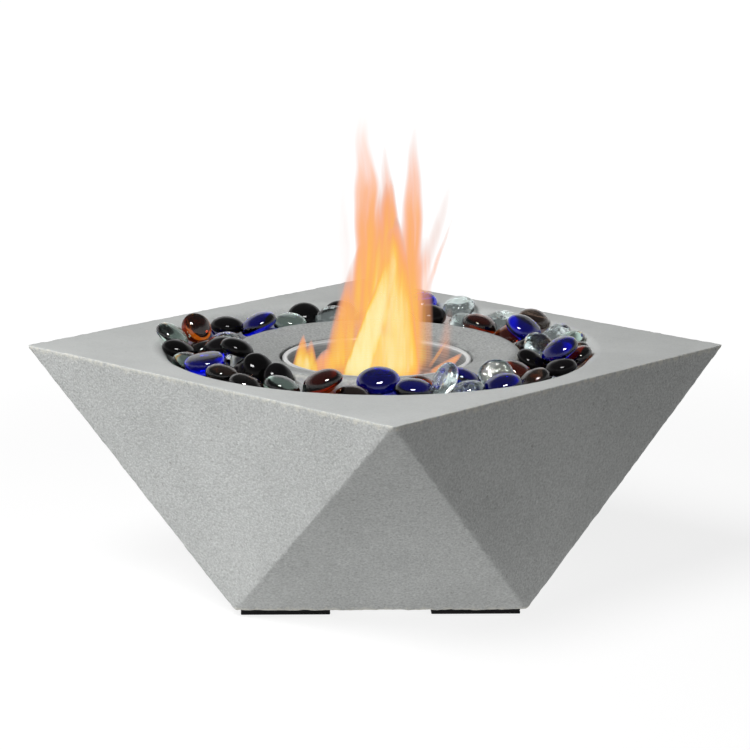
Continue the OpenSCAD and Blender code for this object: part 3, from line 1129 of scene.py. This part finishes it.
@dataclass
class FoamPads:
    """The four foam pads under the base."""

    nodes: tuple[str, ...] = ("front_left_foot", "front_right_foot", "back_left_foot", "back_right_foot")
    edge: float = 0.0006
    edge_segments: int = 2
    cuts: int = 3
    # How far the cut sides are drawn in, and the part of the height, each way from the middle, where they are
    draw: float = 0.0004
    waist: float = 0.125
    smooth_angle: float = 50.0
    finish: FoamFinish = field(default_factory=FoamFinish)

    def build(self) -> list[bpy.types.Object]:
        """Models one pad at each pad's place and dresses them."""
        foam = self.finish.make()
        return [self._pad(node, foam) for node in self.nodes]

    def _pad(self, node: str, foam: bpy.types.Material) -> bpy.types.Object:
        """Models one pad: a block with soft edges whose cut sides are a little drawn in.

        Args:
            node: The pad's CAD node.
            foam: The pads' material.

        Returns:
            The finished pad.
        """
        low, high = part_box(node)
        Bench.clear()
        bpy.ops.mesh.primitive_cube_add(size=1.0, location=(low + high) / 2, scale=high - low)
        pad = Bench.take(node.replace("foot", "pad"))
        with Bench.editing(pad, "EDGE"):
            bpy.ops.mesh.bevel(
                offset=self.edge, offset_type="WIDTH", segments=self.edge_segments, clamp_overlap=True
            )
            bpy.ops.mesh.select_all(action="SELECT")
            bpy.ops.mesh.subdivide(number_cuts=self.cuts)
        middle = (low.z + high.z) / 2
        reach = (high.z - low.z) * self.waist
        Bench.pick(pad, "vertices", lambda point: abs(point.co.z - middle) < reach)
        with Bench.editing(pad, keep=True):
            bpy.ops.transform.shrink_fatten(value=-self.draw)
        Bench.smooth(pad, self.smooth_angle)
        Bench.dress(pad, foam)
        stand_in(pad, node, PIT)
        return pad


@dataclass(frozen=True)
class Lie:
    """How one pebble lies: its middle, its flat axis, its half width and its half thickness."""

    middle: Vector
    axis: Vector
    half_w: float
    half_t: float


@dataclass
class PebbleBed:
    """The loose glass pebbles in the moat, each where its CAD solid lies."""

    rows: tuple[str, ...] = ("inner", "outer", "heap")
    # The shapes, for a half width of 1: lumpy, then softened, with the underside flattened
    shapes: int = 8
    segments: int = 28
    rings: int = 16
    lumps: float = 0.10
    soften: float = 0.5
    lump_passes: int = 6
    flat_from: float = -0.40
    flat_share: float = 0.30
    flat_passes: int = 2
    tall: float = 1.75
    smooth_angle: float = 180.0
    # How the pebbles of one node differ: the step through the shapes, the turn in radians and the tones
    shape_step: int = 3
    turn_step: float = 2.4
    tones: tuple[float, ...] = (0.2, 0.9, 0.5, 0.0, 0.7)
    # Where the pebbles on top that lie with their flat side up are
    upturned: tuple[Point, ...] = ((-0.088, -0.039), (0.085, 0.002), (0.030, -0.092), (0.057, -0.061))

    def build(self) -> list[bpy.types.Object]:
        """Models a few pebble shapes, copies them to every place and dresses them by colour.

        Returns:
            One piece for each colour and row.
        """
        shapes = [self._shape(seed) for seed in range(self.shapes)]
        made = []
        for glass in Glass:
            material = glass.value.make()
            for row in self.rows:
                node = f"{glass.name.lower()}_pebbles_{row}"
                made.append(self._fill(node, shapes, material))
        for shape in shapes:
            bpy.data.objects.remove(shape)
        return made

    def _shape(self, seed: int) -> bpy.types.Object:
        """Models one pebble shape: domed above, flatter below and a little lumpy.

        Args:
            seed: The seed of its lumps.

        Returns:
            The shape, which fits in the box of a ball of radius 1.
        """
        Bench.clear()
        bpy.ops.mesh.primitive_uv_sphere_add(segments=self.segments, ring_count=self.rings, radius=1.0)
        shape = Bench.take(f"pebble_shape_{seed}")
        with Bench.editing(shape):
            bpy.ops.transform.vertex_random(offset=self.lumps, uniform=0.0, normal=0.0, seed=seed)
            bpy.ops.mesh.vertices_smooth(factor=self.soften, repeat=self.lump_passes)
        Bench.pick(shape, "vertices", lambda point: point.co.z < self.flat_from)
        with Bench.editing(shape, keep=True):
            bpy.ops.transform.resize(
                value=(1.0, 1.0, self.flat_share), center_override=(0.0, 0.0, self.flat_from)
            )
        with Bench.editing(shape):
            bpy.ops.mesh.vertices_smooth(factor=self.soften, repeat=self.flat_passes)
        Bench.modify(shape, "SUBSURF", levels=1, render_levels=1)
        self._fit(shape)
        Bench.smooth(shape, self.smooth_angle)
        return shape

    def _fit(self, shape: bpy.types.Object) -> None:
        """Scales a shape to a half width of 1 and its height, with its top at 1.

        Args:
            shape: The pebble shape.
        """
        points = np.array([p.co for p in shape.data.vertices])
        reach = np.linalg.norm(points[:, :2], axis=1).max()
        top, bottom = points[:, 2].max(), points[:, 2].min()
        rise = self.tall / (top - bottom)
        lift = 1.0 - top * rise
        place = Matrix.Translation((0, 0, lift)) @ Matrix.Diagonal((1 / reach, 1 / reach, rise, 1.0))
        shape.data.transform(place)

    def _fill(
        self, node: str, shapes: list[bpy.types.Object], material: bpy.types.Material
    ) -> bpy.types.Object:
        """Puts a pebble at each of a node's places and joins them into one piece.

        Args:
            node: The CAD node that holds the pebbles' solids.
            shapes: The pebble shapes to copy.
            material: The glass.

        Returns:
            The finished piece.
        """
        copies = []
        for number, lie in enumerate(self._lies(node)):
            shape = shapes[(number * self.shape_step + len(node)) % len(shapes)]
            copy = bpy.data.objects.new("pebble", shape.data.copy())
            bpy.context.scene.collection.objects.link(copy)
            upright = lie.axis.to_track_quat("Z", "Y").to_matrix().to_4x4()
            turn = Matrix.Rotation(self.turn_step * number, 4, "Z")
            if self._is_upturned(lie):
                turn = Matrix.Rotation(math.pi, 4, "X") @ turn
            size = Matrix.Diagonal((lie.half_w, lie.half_w, lie.half_t, 1.0))
            copy.data.transform(Matrix.Translation(lie.middle) @ upright @ turn @ size)
            tone = copy.data.attributes.new("tone", "FLOAT", "POINT")
            tone.data.foreach_set("value", [self.tones[number % len(self.tones)]] * len(copy.data.vertices))
            copies.append(copy)
        piece = Bench.join(*copies)
        piece.name = node.replace("pebbles", "glass")
        piece.data.name = piece.name
        Bench.dress(piece, material)
        stand_in(piece, node, PIT)
        return piece

    def _is_upturned(self, lie: Lie) -> bool:
        """Whether a pebble on top of the heap is one that lies with its flat side up."""
        above = lie.middle.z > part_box("concrete_body")[1].z - lie.half_t
        return above and any((lie.middle.xy - Vector(spot)).length < lie.half_w / 2 for spot in self.upturned)

    @staticmethod
    def _lies(node: str) -> list[Lie]:
        """Measures where a node's solids lie.

        Args:
            node: A CAD node that holds flat round solids.

        Returns:
            One entry for each solid, in the order of their middles.
        """
        Bench.clear()
        copy = bpy.data.objects.new("measured", bpy.data.objects[node].data.copy())
        bpy.context.scene.collection.objects.link(copy)
        with Bench.editing(copy):
            bpy.ops.mesh.remove_doubles(threshold=WELD)
            bpy.ops.mesh.separate(type="LOOSE")
        parts = list(bpy.context.selected_objects)
        lies = sorted((PebbleBed._measure(part) for part in parts), key=lambda lie: tuple(lie.middle))
        for part in parts:
            bpy.data.objects.remove(part)
        return lies

    @staticmethod
    def _measure(part: bpy.types.Object) -> Lie:
        """Measures one flat round solid from its faces.

        Args:
            part: A copy of the solid's mesh.

        Returns:
            How it lies.
        """
        faces = part.data.polygons
        areas = np.array([face.area for face in faces])
        centres = np.array([face.center for face in faces])
        middle = areas @ centres / areas.sum()
        arms = centres - middle
        spread = (arms * areas[:, None]).T @ arms
        axis = np.linalg.eigh(spread)[1][:, 0]
        axis = axis if axis[2] > 0 else -axis
        points = np.array([p.co for p in part.data.vertices]) - middle
        along = points @ axis
        out = np.linalg.norm(points - along[:, None] * axis, axis=1)
        return Lie(Vector(middle), Vector(axis), float(out.max()), float(np.abs(along).max()))


@dataclass(frozen=True)
class Tongue:
    """One tongue of the flame: its foot and tip, its radius at the foot, its heat and how much it hides.

    The taper is 0 for a column and about 1 for a spike.
    """

    foot: Place
    tip: Place
    radius: float
    heat: float
    veil: float
    taper: float


@dataclass
class Flame:
    """The burning fuel: a glow that fills a space above the cup. It is an effect and no piece of the part."""

    tongues: tuple[Tongue, ...] = (
        Tongue((0.000, 0.004, 0.104), (-0.009, 0.007, 0.262), 0.0115, 0.75, 0.70, 0.55),
        Tongue((0.008, -0.002, 0.104), (0.003, 0.002, 0.230), 0.0130, 0.75, 0.70, 0.70),
        Tongue((0.014, 0.003, 0.104), (0.019, 0.002, 0.240), 0.0105, 0.75, 0.70, 0.50),
        Tongue((0.006, 0.003, 0.104), (0.006, 0.003, 0.212), 0.0175, 1.10, 0.80, 0.85),
        Tongue((-0.013, -0.010, 0.104), (0.008, -0.006, 0.172), 0.0080, 3.40, 1.20, 0.40),
        Tongue((0.013, -0.008, 0.104), (0.009, -0.004, 0.192), 0.0105, 1.80, 1.20, 0.60),
        Tongue((0.004, -0.007, 0.130), (0.007, -0.004, 0.186), 0.0090, 1.40, 1.00, 0.50),
        Tongue((-0.021, 0.000, 0.104), (-0.009, 0.006, 0.176), 0.0100, 0.80, 0.45, 0.50),
        Tongue((-0.016, 0.006, 0.126), (-0.017, 0.009, 0.232), 0.0055, 0.02, 0.05, 0.30),
        Tongue((-0.040, -0.006, 0.104), (-0.038, -0.005, 0.131), 0.0068, 1.60, 0.80, 0.70),
        Tongue((-0.035, -0.004, 0.104), (-0.034, -0.004, 0.128), 0.0060, 1.40, 0.80, 0.70),
        Tongue((-0.029, -0.003, 0.104), (-0.026, -0.002, 0.122), 0.0090, 0.80, 0.80, 0.50),
        Tongue((0.0245, 0.006, 0.104), (0.025, 0.008, 0.180), 0.0060, 0.50, 0.14, 0.30),
        Tongue((0.023, -0.008, 0.105), (0.044, -0.006, 0.121), 0.0085, 1.00, 0.80, 0.70),
        Tongue((0.024, -0.004, 0.108), (0.037, -0.003, 0.128), 0.0016, 0.80, 0.80, 0.30),
        Tongue((0.034, 0.004, 0.108), (0.038, 0.006, 0.142), 0.0060, 0.25, 0.07, 0.40),
        Tongue((0.022, 0.006, 0.154), (0.039, 0.008, 0.212), 0.0050, 0.08, 0.14, 0.40),
        Tongue((0.025, 0.002, 0.148), (0.039, 0.003, 0.194), 0.0020, 0.20, 0.45, 0.50),
        Tongue((0.008, 0.020, 0.104), (0.005, 0.021, 0.206), 0.0110, 0.75, 0.70, 0.55),
        Tongue((0.003, 0.027, 0.104), (0.006, 0.031, 0.158), 0.0090, 0.85, 0.70, 0.60),
    )
    # From the faint outer veil to the bright core
    colours: tuple[tuple[float, Colour], ...] = (
        (0.0, (0.62, 0.41, 0.36)),
        (0.12, (0.98, 0.42, 0.24)),
        (0.30, (1.0, 0.44, 0.11)),
        (0.52, (1.0, 0.58, 0.085)),
        (0.74, (1.0, 0.75, 0.15)),
        (1.0, (1.0, 0.93, 0.48)),
    )
    # The space that the flame fills, inside the cup's wall and up to its tips
    base_z: float = 0.104
    top_z: float = 0.260
    reach: float = 0.046
    foot_share: float = 0.94
    foot_h: float = 0.012
    column_h: float = 0.10
    top_share: float = 0.7
    steps: int = 32
    # How far the tongues waver aside
    waver: float = 0.005
    waver_size: float = 0.022
    waver_stretch: Place = (1.0, 1.0, 0.55)
    # Streaks along the tongues: how strongly they show, in the colour and in what hides
    streak_size: float = 0.0036
    streak_stretch: Place = (1.0, 0.4, 0.09)
    streak_gain: float = 2.4
    streak_dim: float = 0.2
    streak_gap: float = 0.4
    fade: Span = (0.158, 0.252)
    start_run: float = 0.014
    density: float = 900.0
    step_rate: float = 0.22

    def build(self) -> bpy.types.Object:
        """Makes the space that the flame fills and lights it; it moves with the cup.

        Returns:
            The space, which isn't part of the object.
        """
        section = [
            (0.0, self.base_z),
            (self.reach * self.foot_share, self.base_z),
            (self.reach, self.base_z + self.foot_h),
            (self.reach, self.base_z + self.column_h),
            (self.reach * self.top_share, self.top_z),
            (0.0, self.top_z),
        ]
        space = Bench.lathe("flame", section, self.steps)
        Bench.dress(space, self._glow())
        space.visible_diffuse = False
        space.visible_glossy = False
        space.visible_shadow = False
        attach(space, CUP)
        return space

    def _glow(self) -> bpy.types.Material:
        """Makes a volume that hides what is behind it as much as it glows, so that it shows on white too.

        Returns:
            The flame's material.
        """
        material, sheet = new_material("flame_glow")
        place = sheet.place()
        height = sheet.along(place, "Z")
        shift = self._shift(sheet, place, height)
        swayed = sheet.vector("ADD", sheet.stretched(place, FLAT), shift)
        strands = sheet.stretched(sheet.vector("ADD", place, shift), self.streak_stretch)
        streak = sheet.noise(strands, self.streak_size, detail=2.0, rough=0.6) * self.streak_gain
        veil: Feed = 0.0
        heat: Feed = 0.0
        for tongue in self.tongues:
            part, left = self._tongue(sheet, swayed, height, tongue)
            veil = part * tongue.veil + veil
            heat = part * left * tongue.heat + heat
        colour = sheet.node(
            "ShaderNodeValToRGB", {"stops": self.colours}, {"Fac": heat * (streak - self.streak_dim)}
        )
        hidden = (veil * (streak - self.streak_gap).clamped()).clamped()
        strength = hidden * (1 - height.stepped(*self.fade)) * self.density
        glow = sheet.node("ShaderNodeEmission", feeds={"Color": colour, "Strength": strength})
        hiding = sheet.node("ShaderNodeVolumeAbsorption", feeds={"Color": FULL_BLACK, "Density": strength})
        sheet.finish(volume=sheet.node("ShaderNodeAddShader", feeds={0: glow, 1: hiding}))
        material.cycles.volume_step_rate = self.step_rate
        return material

    def _shift(self, sheet: Sheet, place: Wire, height: Wire) -> Wire:
        """Finds how far the flame wavers aside.

        Args:
            sheet: The flame's nodes.
            place: The point in the flame.
            height: The point's height.

        Returns:
            A level shift, which grows from nothing at the flame's foot.
        """
        feeds = {
            "Vector": sheet.stretched(place, self.waver_stretch),
            "Scale": 1 / self.waver_size,
            "Detail": 1.0,
        }
        drift = sheet.node("ShaderNodeTexNoise", feeds=feeds, output="Color")
        centred = sheet.vector("SUBTRACT", drift, (0.5, 0.5, 0.5))
        level = sheet.stretched(centred, (2 * self.waver, 2 * self.waver, 0.0))
        return sheet.scaled(level, height.stepped(self.base_z, self.top_z))

    def _tongue(self, sheet: Sheet, swayed: Wire, height: Wire, tongue: Tongue) -> tuple[Wire, Wire]:
        """Measures how a point lies in one tongue.

        Args:
            sheet: The flame's nodes.
            swayed: The point, moved with the flame's waver and laid flat.
            height: The point's height.
            tongue: The tongue.

        Returns:
            1 on the tongue's line falling to 0 at its edge, and 1 at its foot falling to 0 at its tip.
        """
        foot, tip = Vector(tongue.foot), Vector(tongue.tip)
        back = (foot - tip) * Vector(FLAT)
        left = sheet.node("ShaderNodeMapRange", feeds={0: height, 1: foot.z, 2: tip.z, 3: 1.0, 4: 0.0})
        line = sheet.vector("MULTIPLY_ADD", left, back, (tip.x, tip.y, 0.0))
        arm = sheet.vector("SUBTRACT", swayed, line)
        far = sheet.vector("DOT_PRODUCT", arm, arm, output="Value")
        width = (left ** (2 * tongue.taper)) * (tongue.radius * tongue.radius) + WELD * WELD
        part = (1 - far / width).clamped()
        if foot.z > self.base_z:
            part = part * height.stepped(foot.z, foot.z + self.start_run)
        return part, left


@dataclass(frozen=True)
class Lamp:
    """A flat lamp: its place, the height on the axis that it faces, its size and its power.

    Unseen names the kind of rays that don't see it: glossy or diffuse.
    """

    name: str
    place: Place
    aim_z: float
    size: tuple[float, float]
    power: float
    shape: str
    unseen: str

    def hang(self) -> None:
        """Adds the lamp to the scene."""
        light = bpy.data.lights.new(self.name, "AREA")
        light.shape = self.shape
        light.size, light.size_y = self.size
        light.energy = self.power
        lamp = bpy.data.objects.new(self.name, light)
        lamp.location = self.place
        back = Vector(self.place) - Vector((0, 0, self.aim_z))
        lamp.rotation_euler = back.to_track_quat("Z", "Y").to_euler()
        setattr(lamp, f"visible_{self.unseen}", False)
        bpy.context.scene.collection.objects.link(lamp)


@dataclass
class Studio:
    """The pale floor, the soft light and the camera."""

    floor_side: float = 40.0
    # The floor's own colour and glow, by the part and away from it
    floor_colour: Colour = (0.18, 0.18, 0.18)
    floor_light: Span = (0.55, 0.25)
    floor_light_fade: Span = (0.10, 0.32)
    # The floor where it is seen, which fades to white
    floor_shown: Colour = (0.22, 0.22, 0.22)
    floor_glow: float = 0.82
    floor_fade: Span = (0.30, 0.90)
    # The light from all round, and the darker ceiling in reflections
    air: float = 0.08
    ceiling: float = 0.10
    ceiling_from: Span = (0.35, 0.65)
    # A broad key from the upper left, a low fill and a soft box that only shows as highlights
    lamps: tuple[Lamp, ...] = (
        Lamp("key", (-0.666, -0.666, 1.394), 0.10, (0.86, 0.86), 24.8, "DISK", "glossy"),
        Lamp("fill", (-1.50, -0.65, 0.16), 0.06, (0.60, 0.24), 5.0, "RECTANGLE", "glossy"),
        Lamp("soft_box", (0.00, -0.68, 1.30), 0.12, (0.38, 0.21), 24.0, "RECTANGLE", "diffuse"),
    )
    # The camera: its angles in degrees, its distance and offsets, and its lens in millimetres
    azimuth: float = -2.60
    elevation: float = 12.69
    roll: float = 0.50
    distance: float = 1.630
    aside: float = -0.00079
    below: float = -0.0157
    lens: float = 151.2
    sensor: float = 36.0

    def build(self) -> None:
        """Sets up everything that isn't the part."""
        bpy.context.scene.view_settings.view_transform = "Standard"
        self._world()
        self._floor()
        for lamp in self.lamps:
            lamp.hang()
        self._camera()

    @staticmethod
    def _seen(sheet: Sheet) -> Wire:
        """Finds the rays that look at what they meet.

        Args:
            sheet: The nodes of the floor or the world.

        Returns:
            1 for a ray from the camera, a reflection or a refraction, else 0.
        """
        path = "ShaderNodeLightPath"
        seen = sheet.node(path, output="Is Camera Ray")
        for ray in ("Is Glossy Ray", "Is Transmission Ray"):
            seen = seen.math("MAXIMUM", sheet.node(path, output=ray))
        return seen

    def _world(self) -> None:
        """White where it is seen, with a dark ceiling in glass and metal, and a plain soft light."""
        world = bpy.data.worlds.new("studio")
        world.use_nodes = True
        bpy.context.scene.world = world
        sheet = Sheet(world.node_tree)
        upwards = sheet.along(sheet.node("ShaderNodeTexCoord", output="Generated"), "Z")
        walls = 1 - upwards.stepped(*self.ceiling_from) * (1 - self.ceiling)
        plain = sheet.node("ShaderNodeLightPath", output="Is Camera Ray")
        seen = plain.math("MAXIMUM", self._seen(sheet) * walls)
        strength = seen * (1 - self.air) + self.air
        back = sheet.node("ShaderNodeBackground", feeds={"Color": FULL_WHITE, "Strength": strength})
        sheet.node("ShaderNodeOutputWorld", feeds={"Surface": back})

    def _floor(self) -> None:
        """A pale floor that keeps the part's shadow."""
        Bench.clear()
        bpy.ops.mesh.primitive_plane_add(size=self.floor_side, location=(0, 0, 0))
        floor = Bench.take("floor")
        material, sheet = new_material("pale_floor")
        far = sheet.vector("LENGTH", sheet.place(), output="Value")
        near, away = self.floor_light
        light = far.stepped(*self.floor_light_fade) * (away - near) + near
        white = far.stepped(*self.floor_fade) * (1 - self.floor_glow) + self.floor_glow
        matt = self._pale(sheet, self.floor_colour, light)
        shown = self._pale(sheet, self.floor_shown, white)
        sheet.finish(sheet.node("ShaderNodeMixShader", feeds={0: self._seen(sheet), 1: matt, 2: shown}))
        Bench.dress(floor, material)

    @staticmethod
    def _pale(sheet: Sheet, colour: Colour, glow: Feed) -> Wire:
        """Makes a matt surface with a glow of its own, as on a light table.

        Args:
            sheet: The floor's nodes.
            colour: The matt colour.
            glow: The strength of the white glow.

        Returns:
            The surface's shader.
        """
        matt = sheet.node("ShaderNodeBsdfDiffuse", feeds={"Color": opaque(colour)})
        even = sheet.node("ShaderNodeEmission", feeds={"Color": FULL_WHITE, "Strength": glow})
        return sheet.node("ShaderNodeAddShader", feeds={0: matt, 1: even})

    def _camera(self) -> None:
        """Looks at the middle of the top from a little above, in front."""
        turn, rise, roll = (math.radians(a) for a in (self.azimuth, self.elevation, self.roll))
        back = Vector((math.sin(turn) * math.cos(rise), -math.cos(turn) * math.cos(rise), math.sin(rise)))
        right = Vector((math.cos(turn), math.sin(turn), 0))
        up = back.cross(right)
        aim = Vector((0, 0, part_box("concrete_body")[1].z))
        place = aim + back * self.distance + right * self.aside + up * self.below
        rolled_right = math.cos(roll) * right + math.sin(roll) * up
        rolled_up = math.cos(roll) * up - math.sin(roll) * right
        lens = bpy.data.cameras.new("camera")
        lens.lens = self.lens
        lens.sensor_width = self.sensor
        lens.clip_end = self.floor_side
        camera = bpy.data.objects.new("camera", lens)
        bpy.context.scene.collection.objects.link(camera)
        turned = Matrix((rolled_right, rolled_up, back)).transposed().to_4x4()
        camera.matrix_world = Matrix.Translation(place) @ turned
        bpy.context.scene.camera = camera


def main() -> None:
    """Builds the looks of every piece, then the studio."""
    logging.basicConfig(level=logging.INFO, format="%(name)s: %(message)s")
    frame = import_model()
    LOG.info("loaded %d nodes", len(frame["nodes"]))
    ConcreteBody().build()
    FuelCup().build()
    FoamPads().build()
    PebbleBed().build()
    Flame().build()
    Studio().build()
    Bench.clear()


if __name__ == "__main__":
    main()
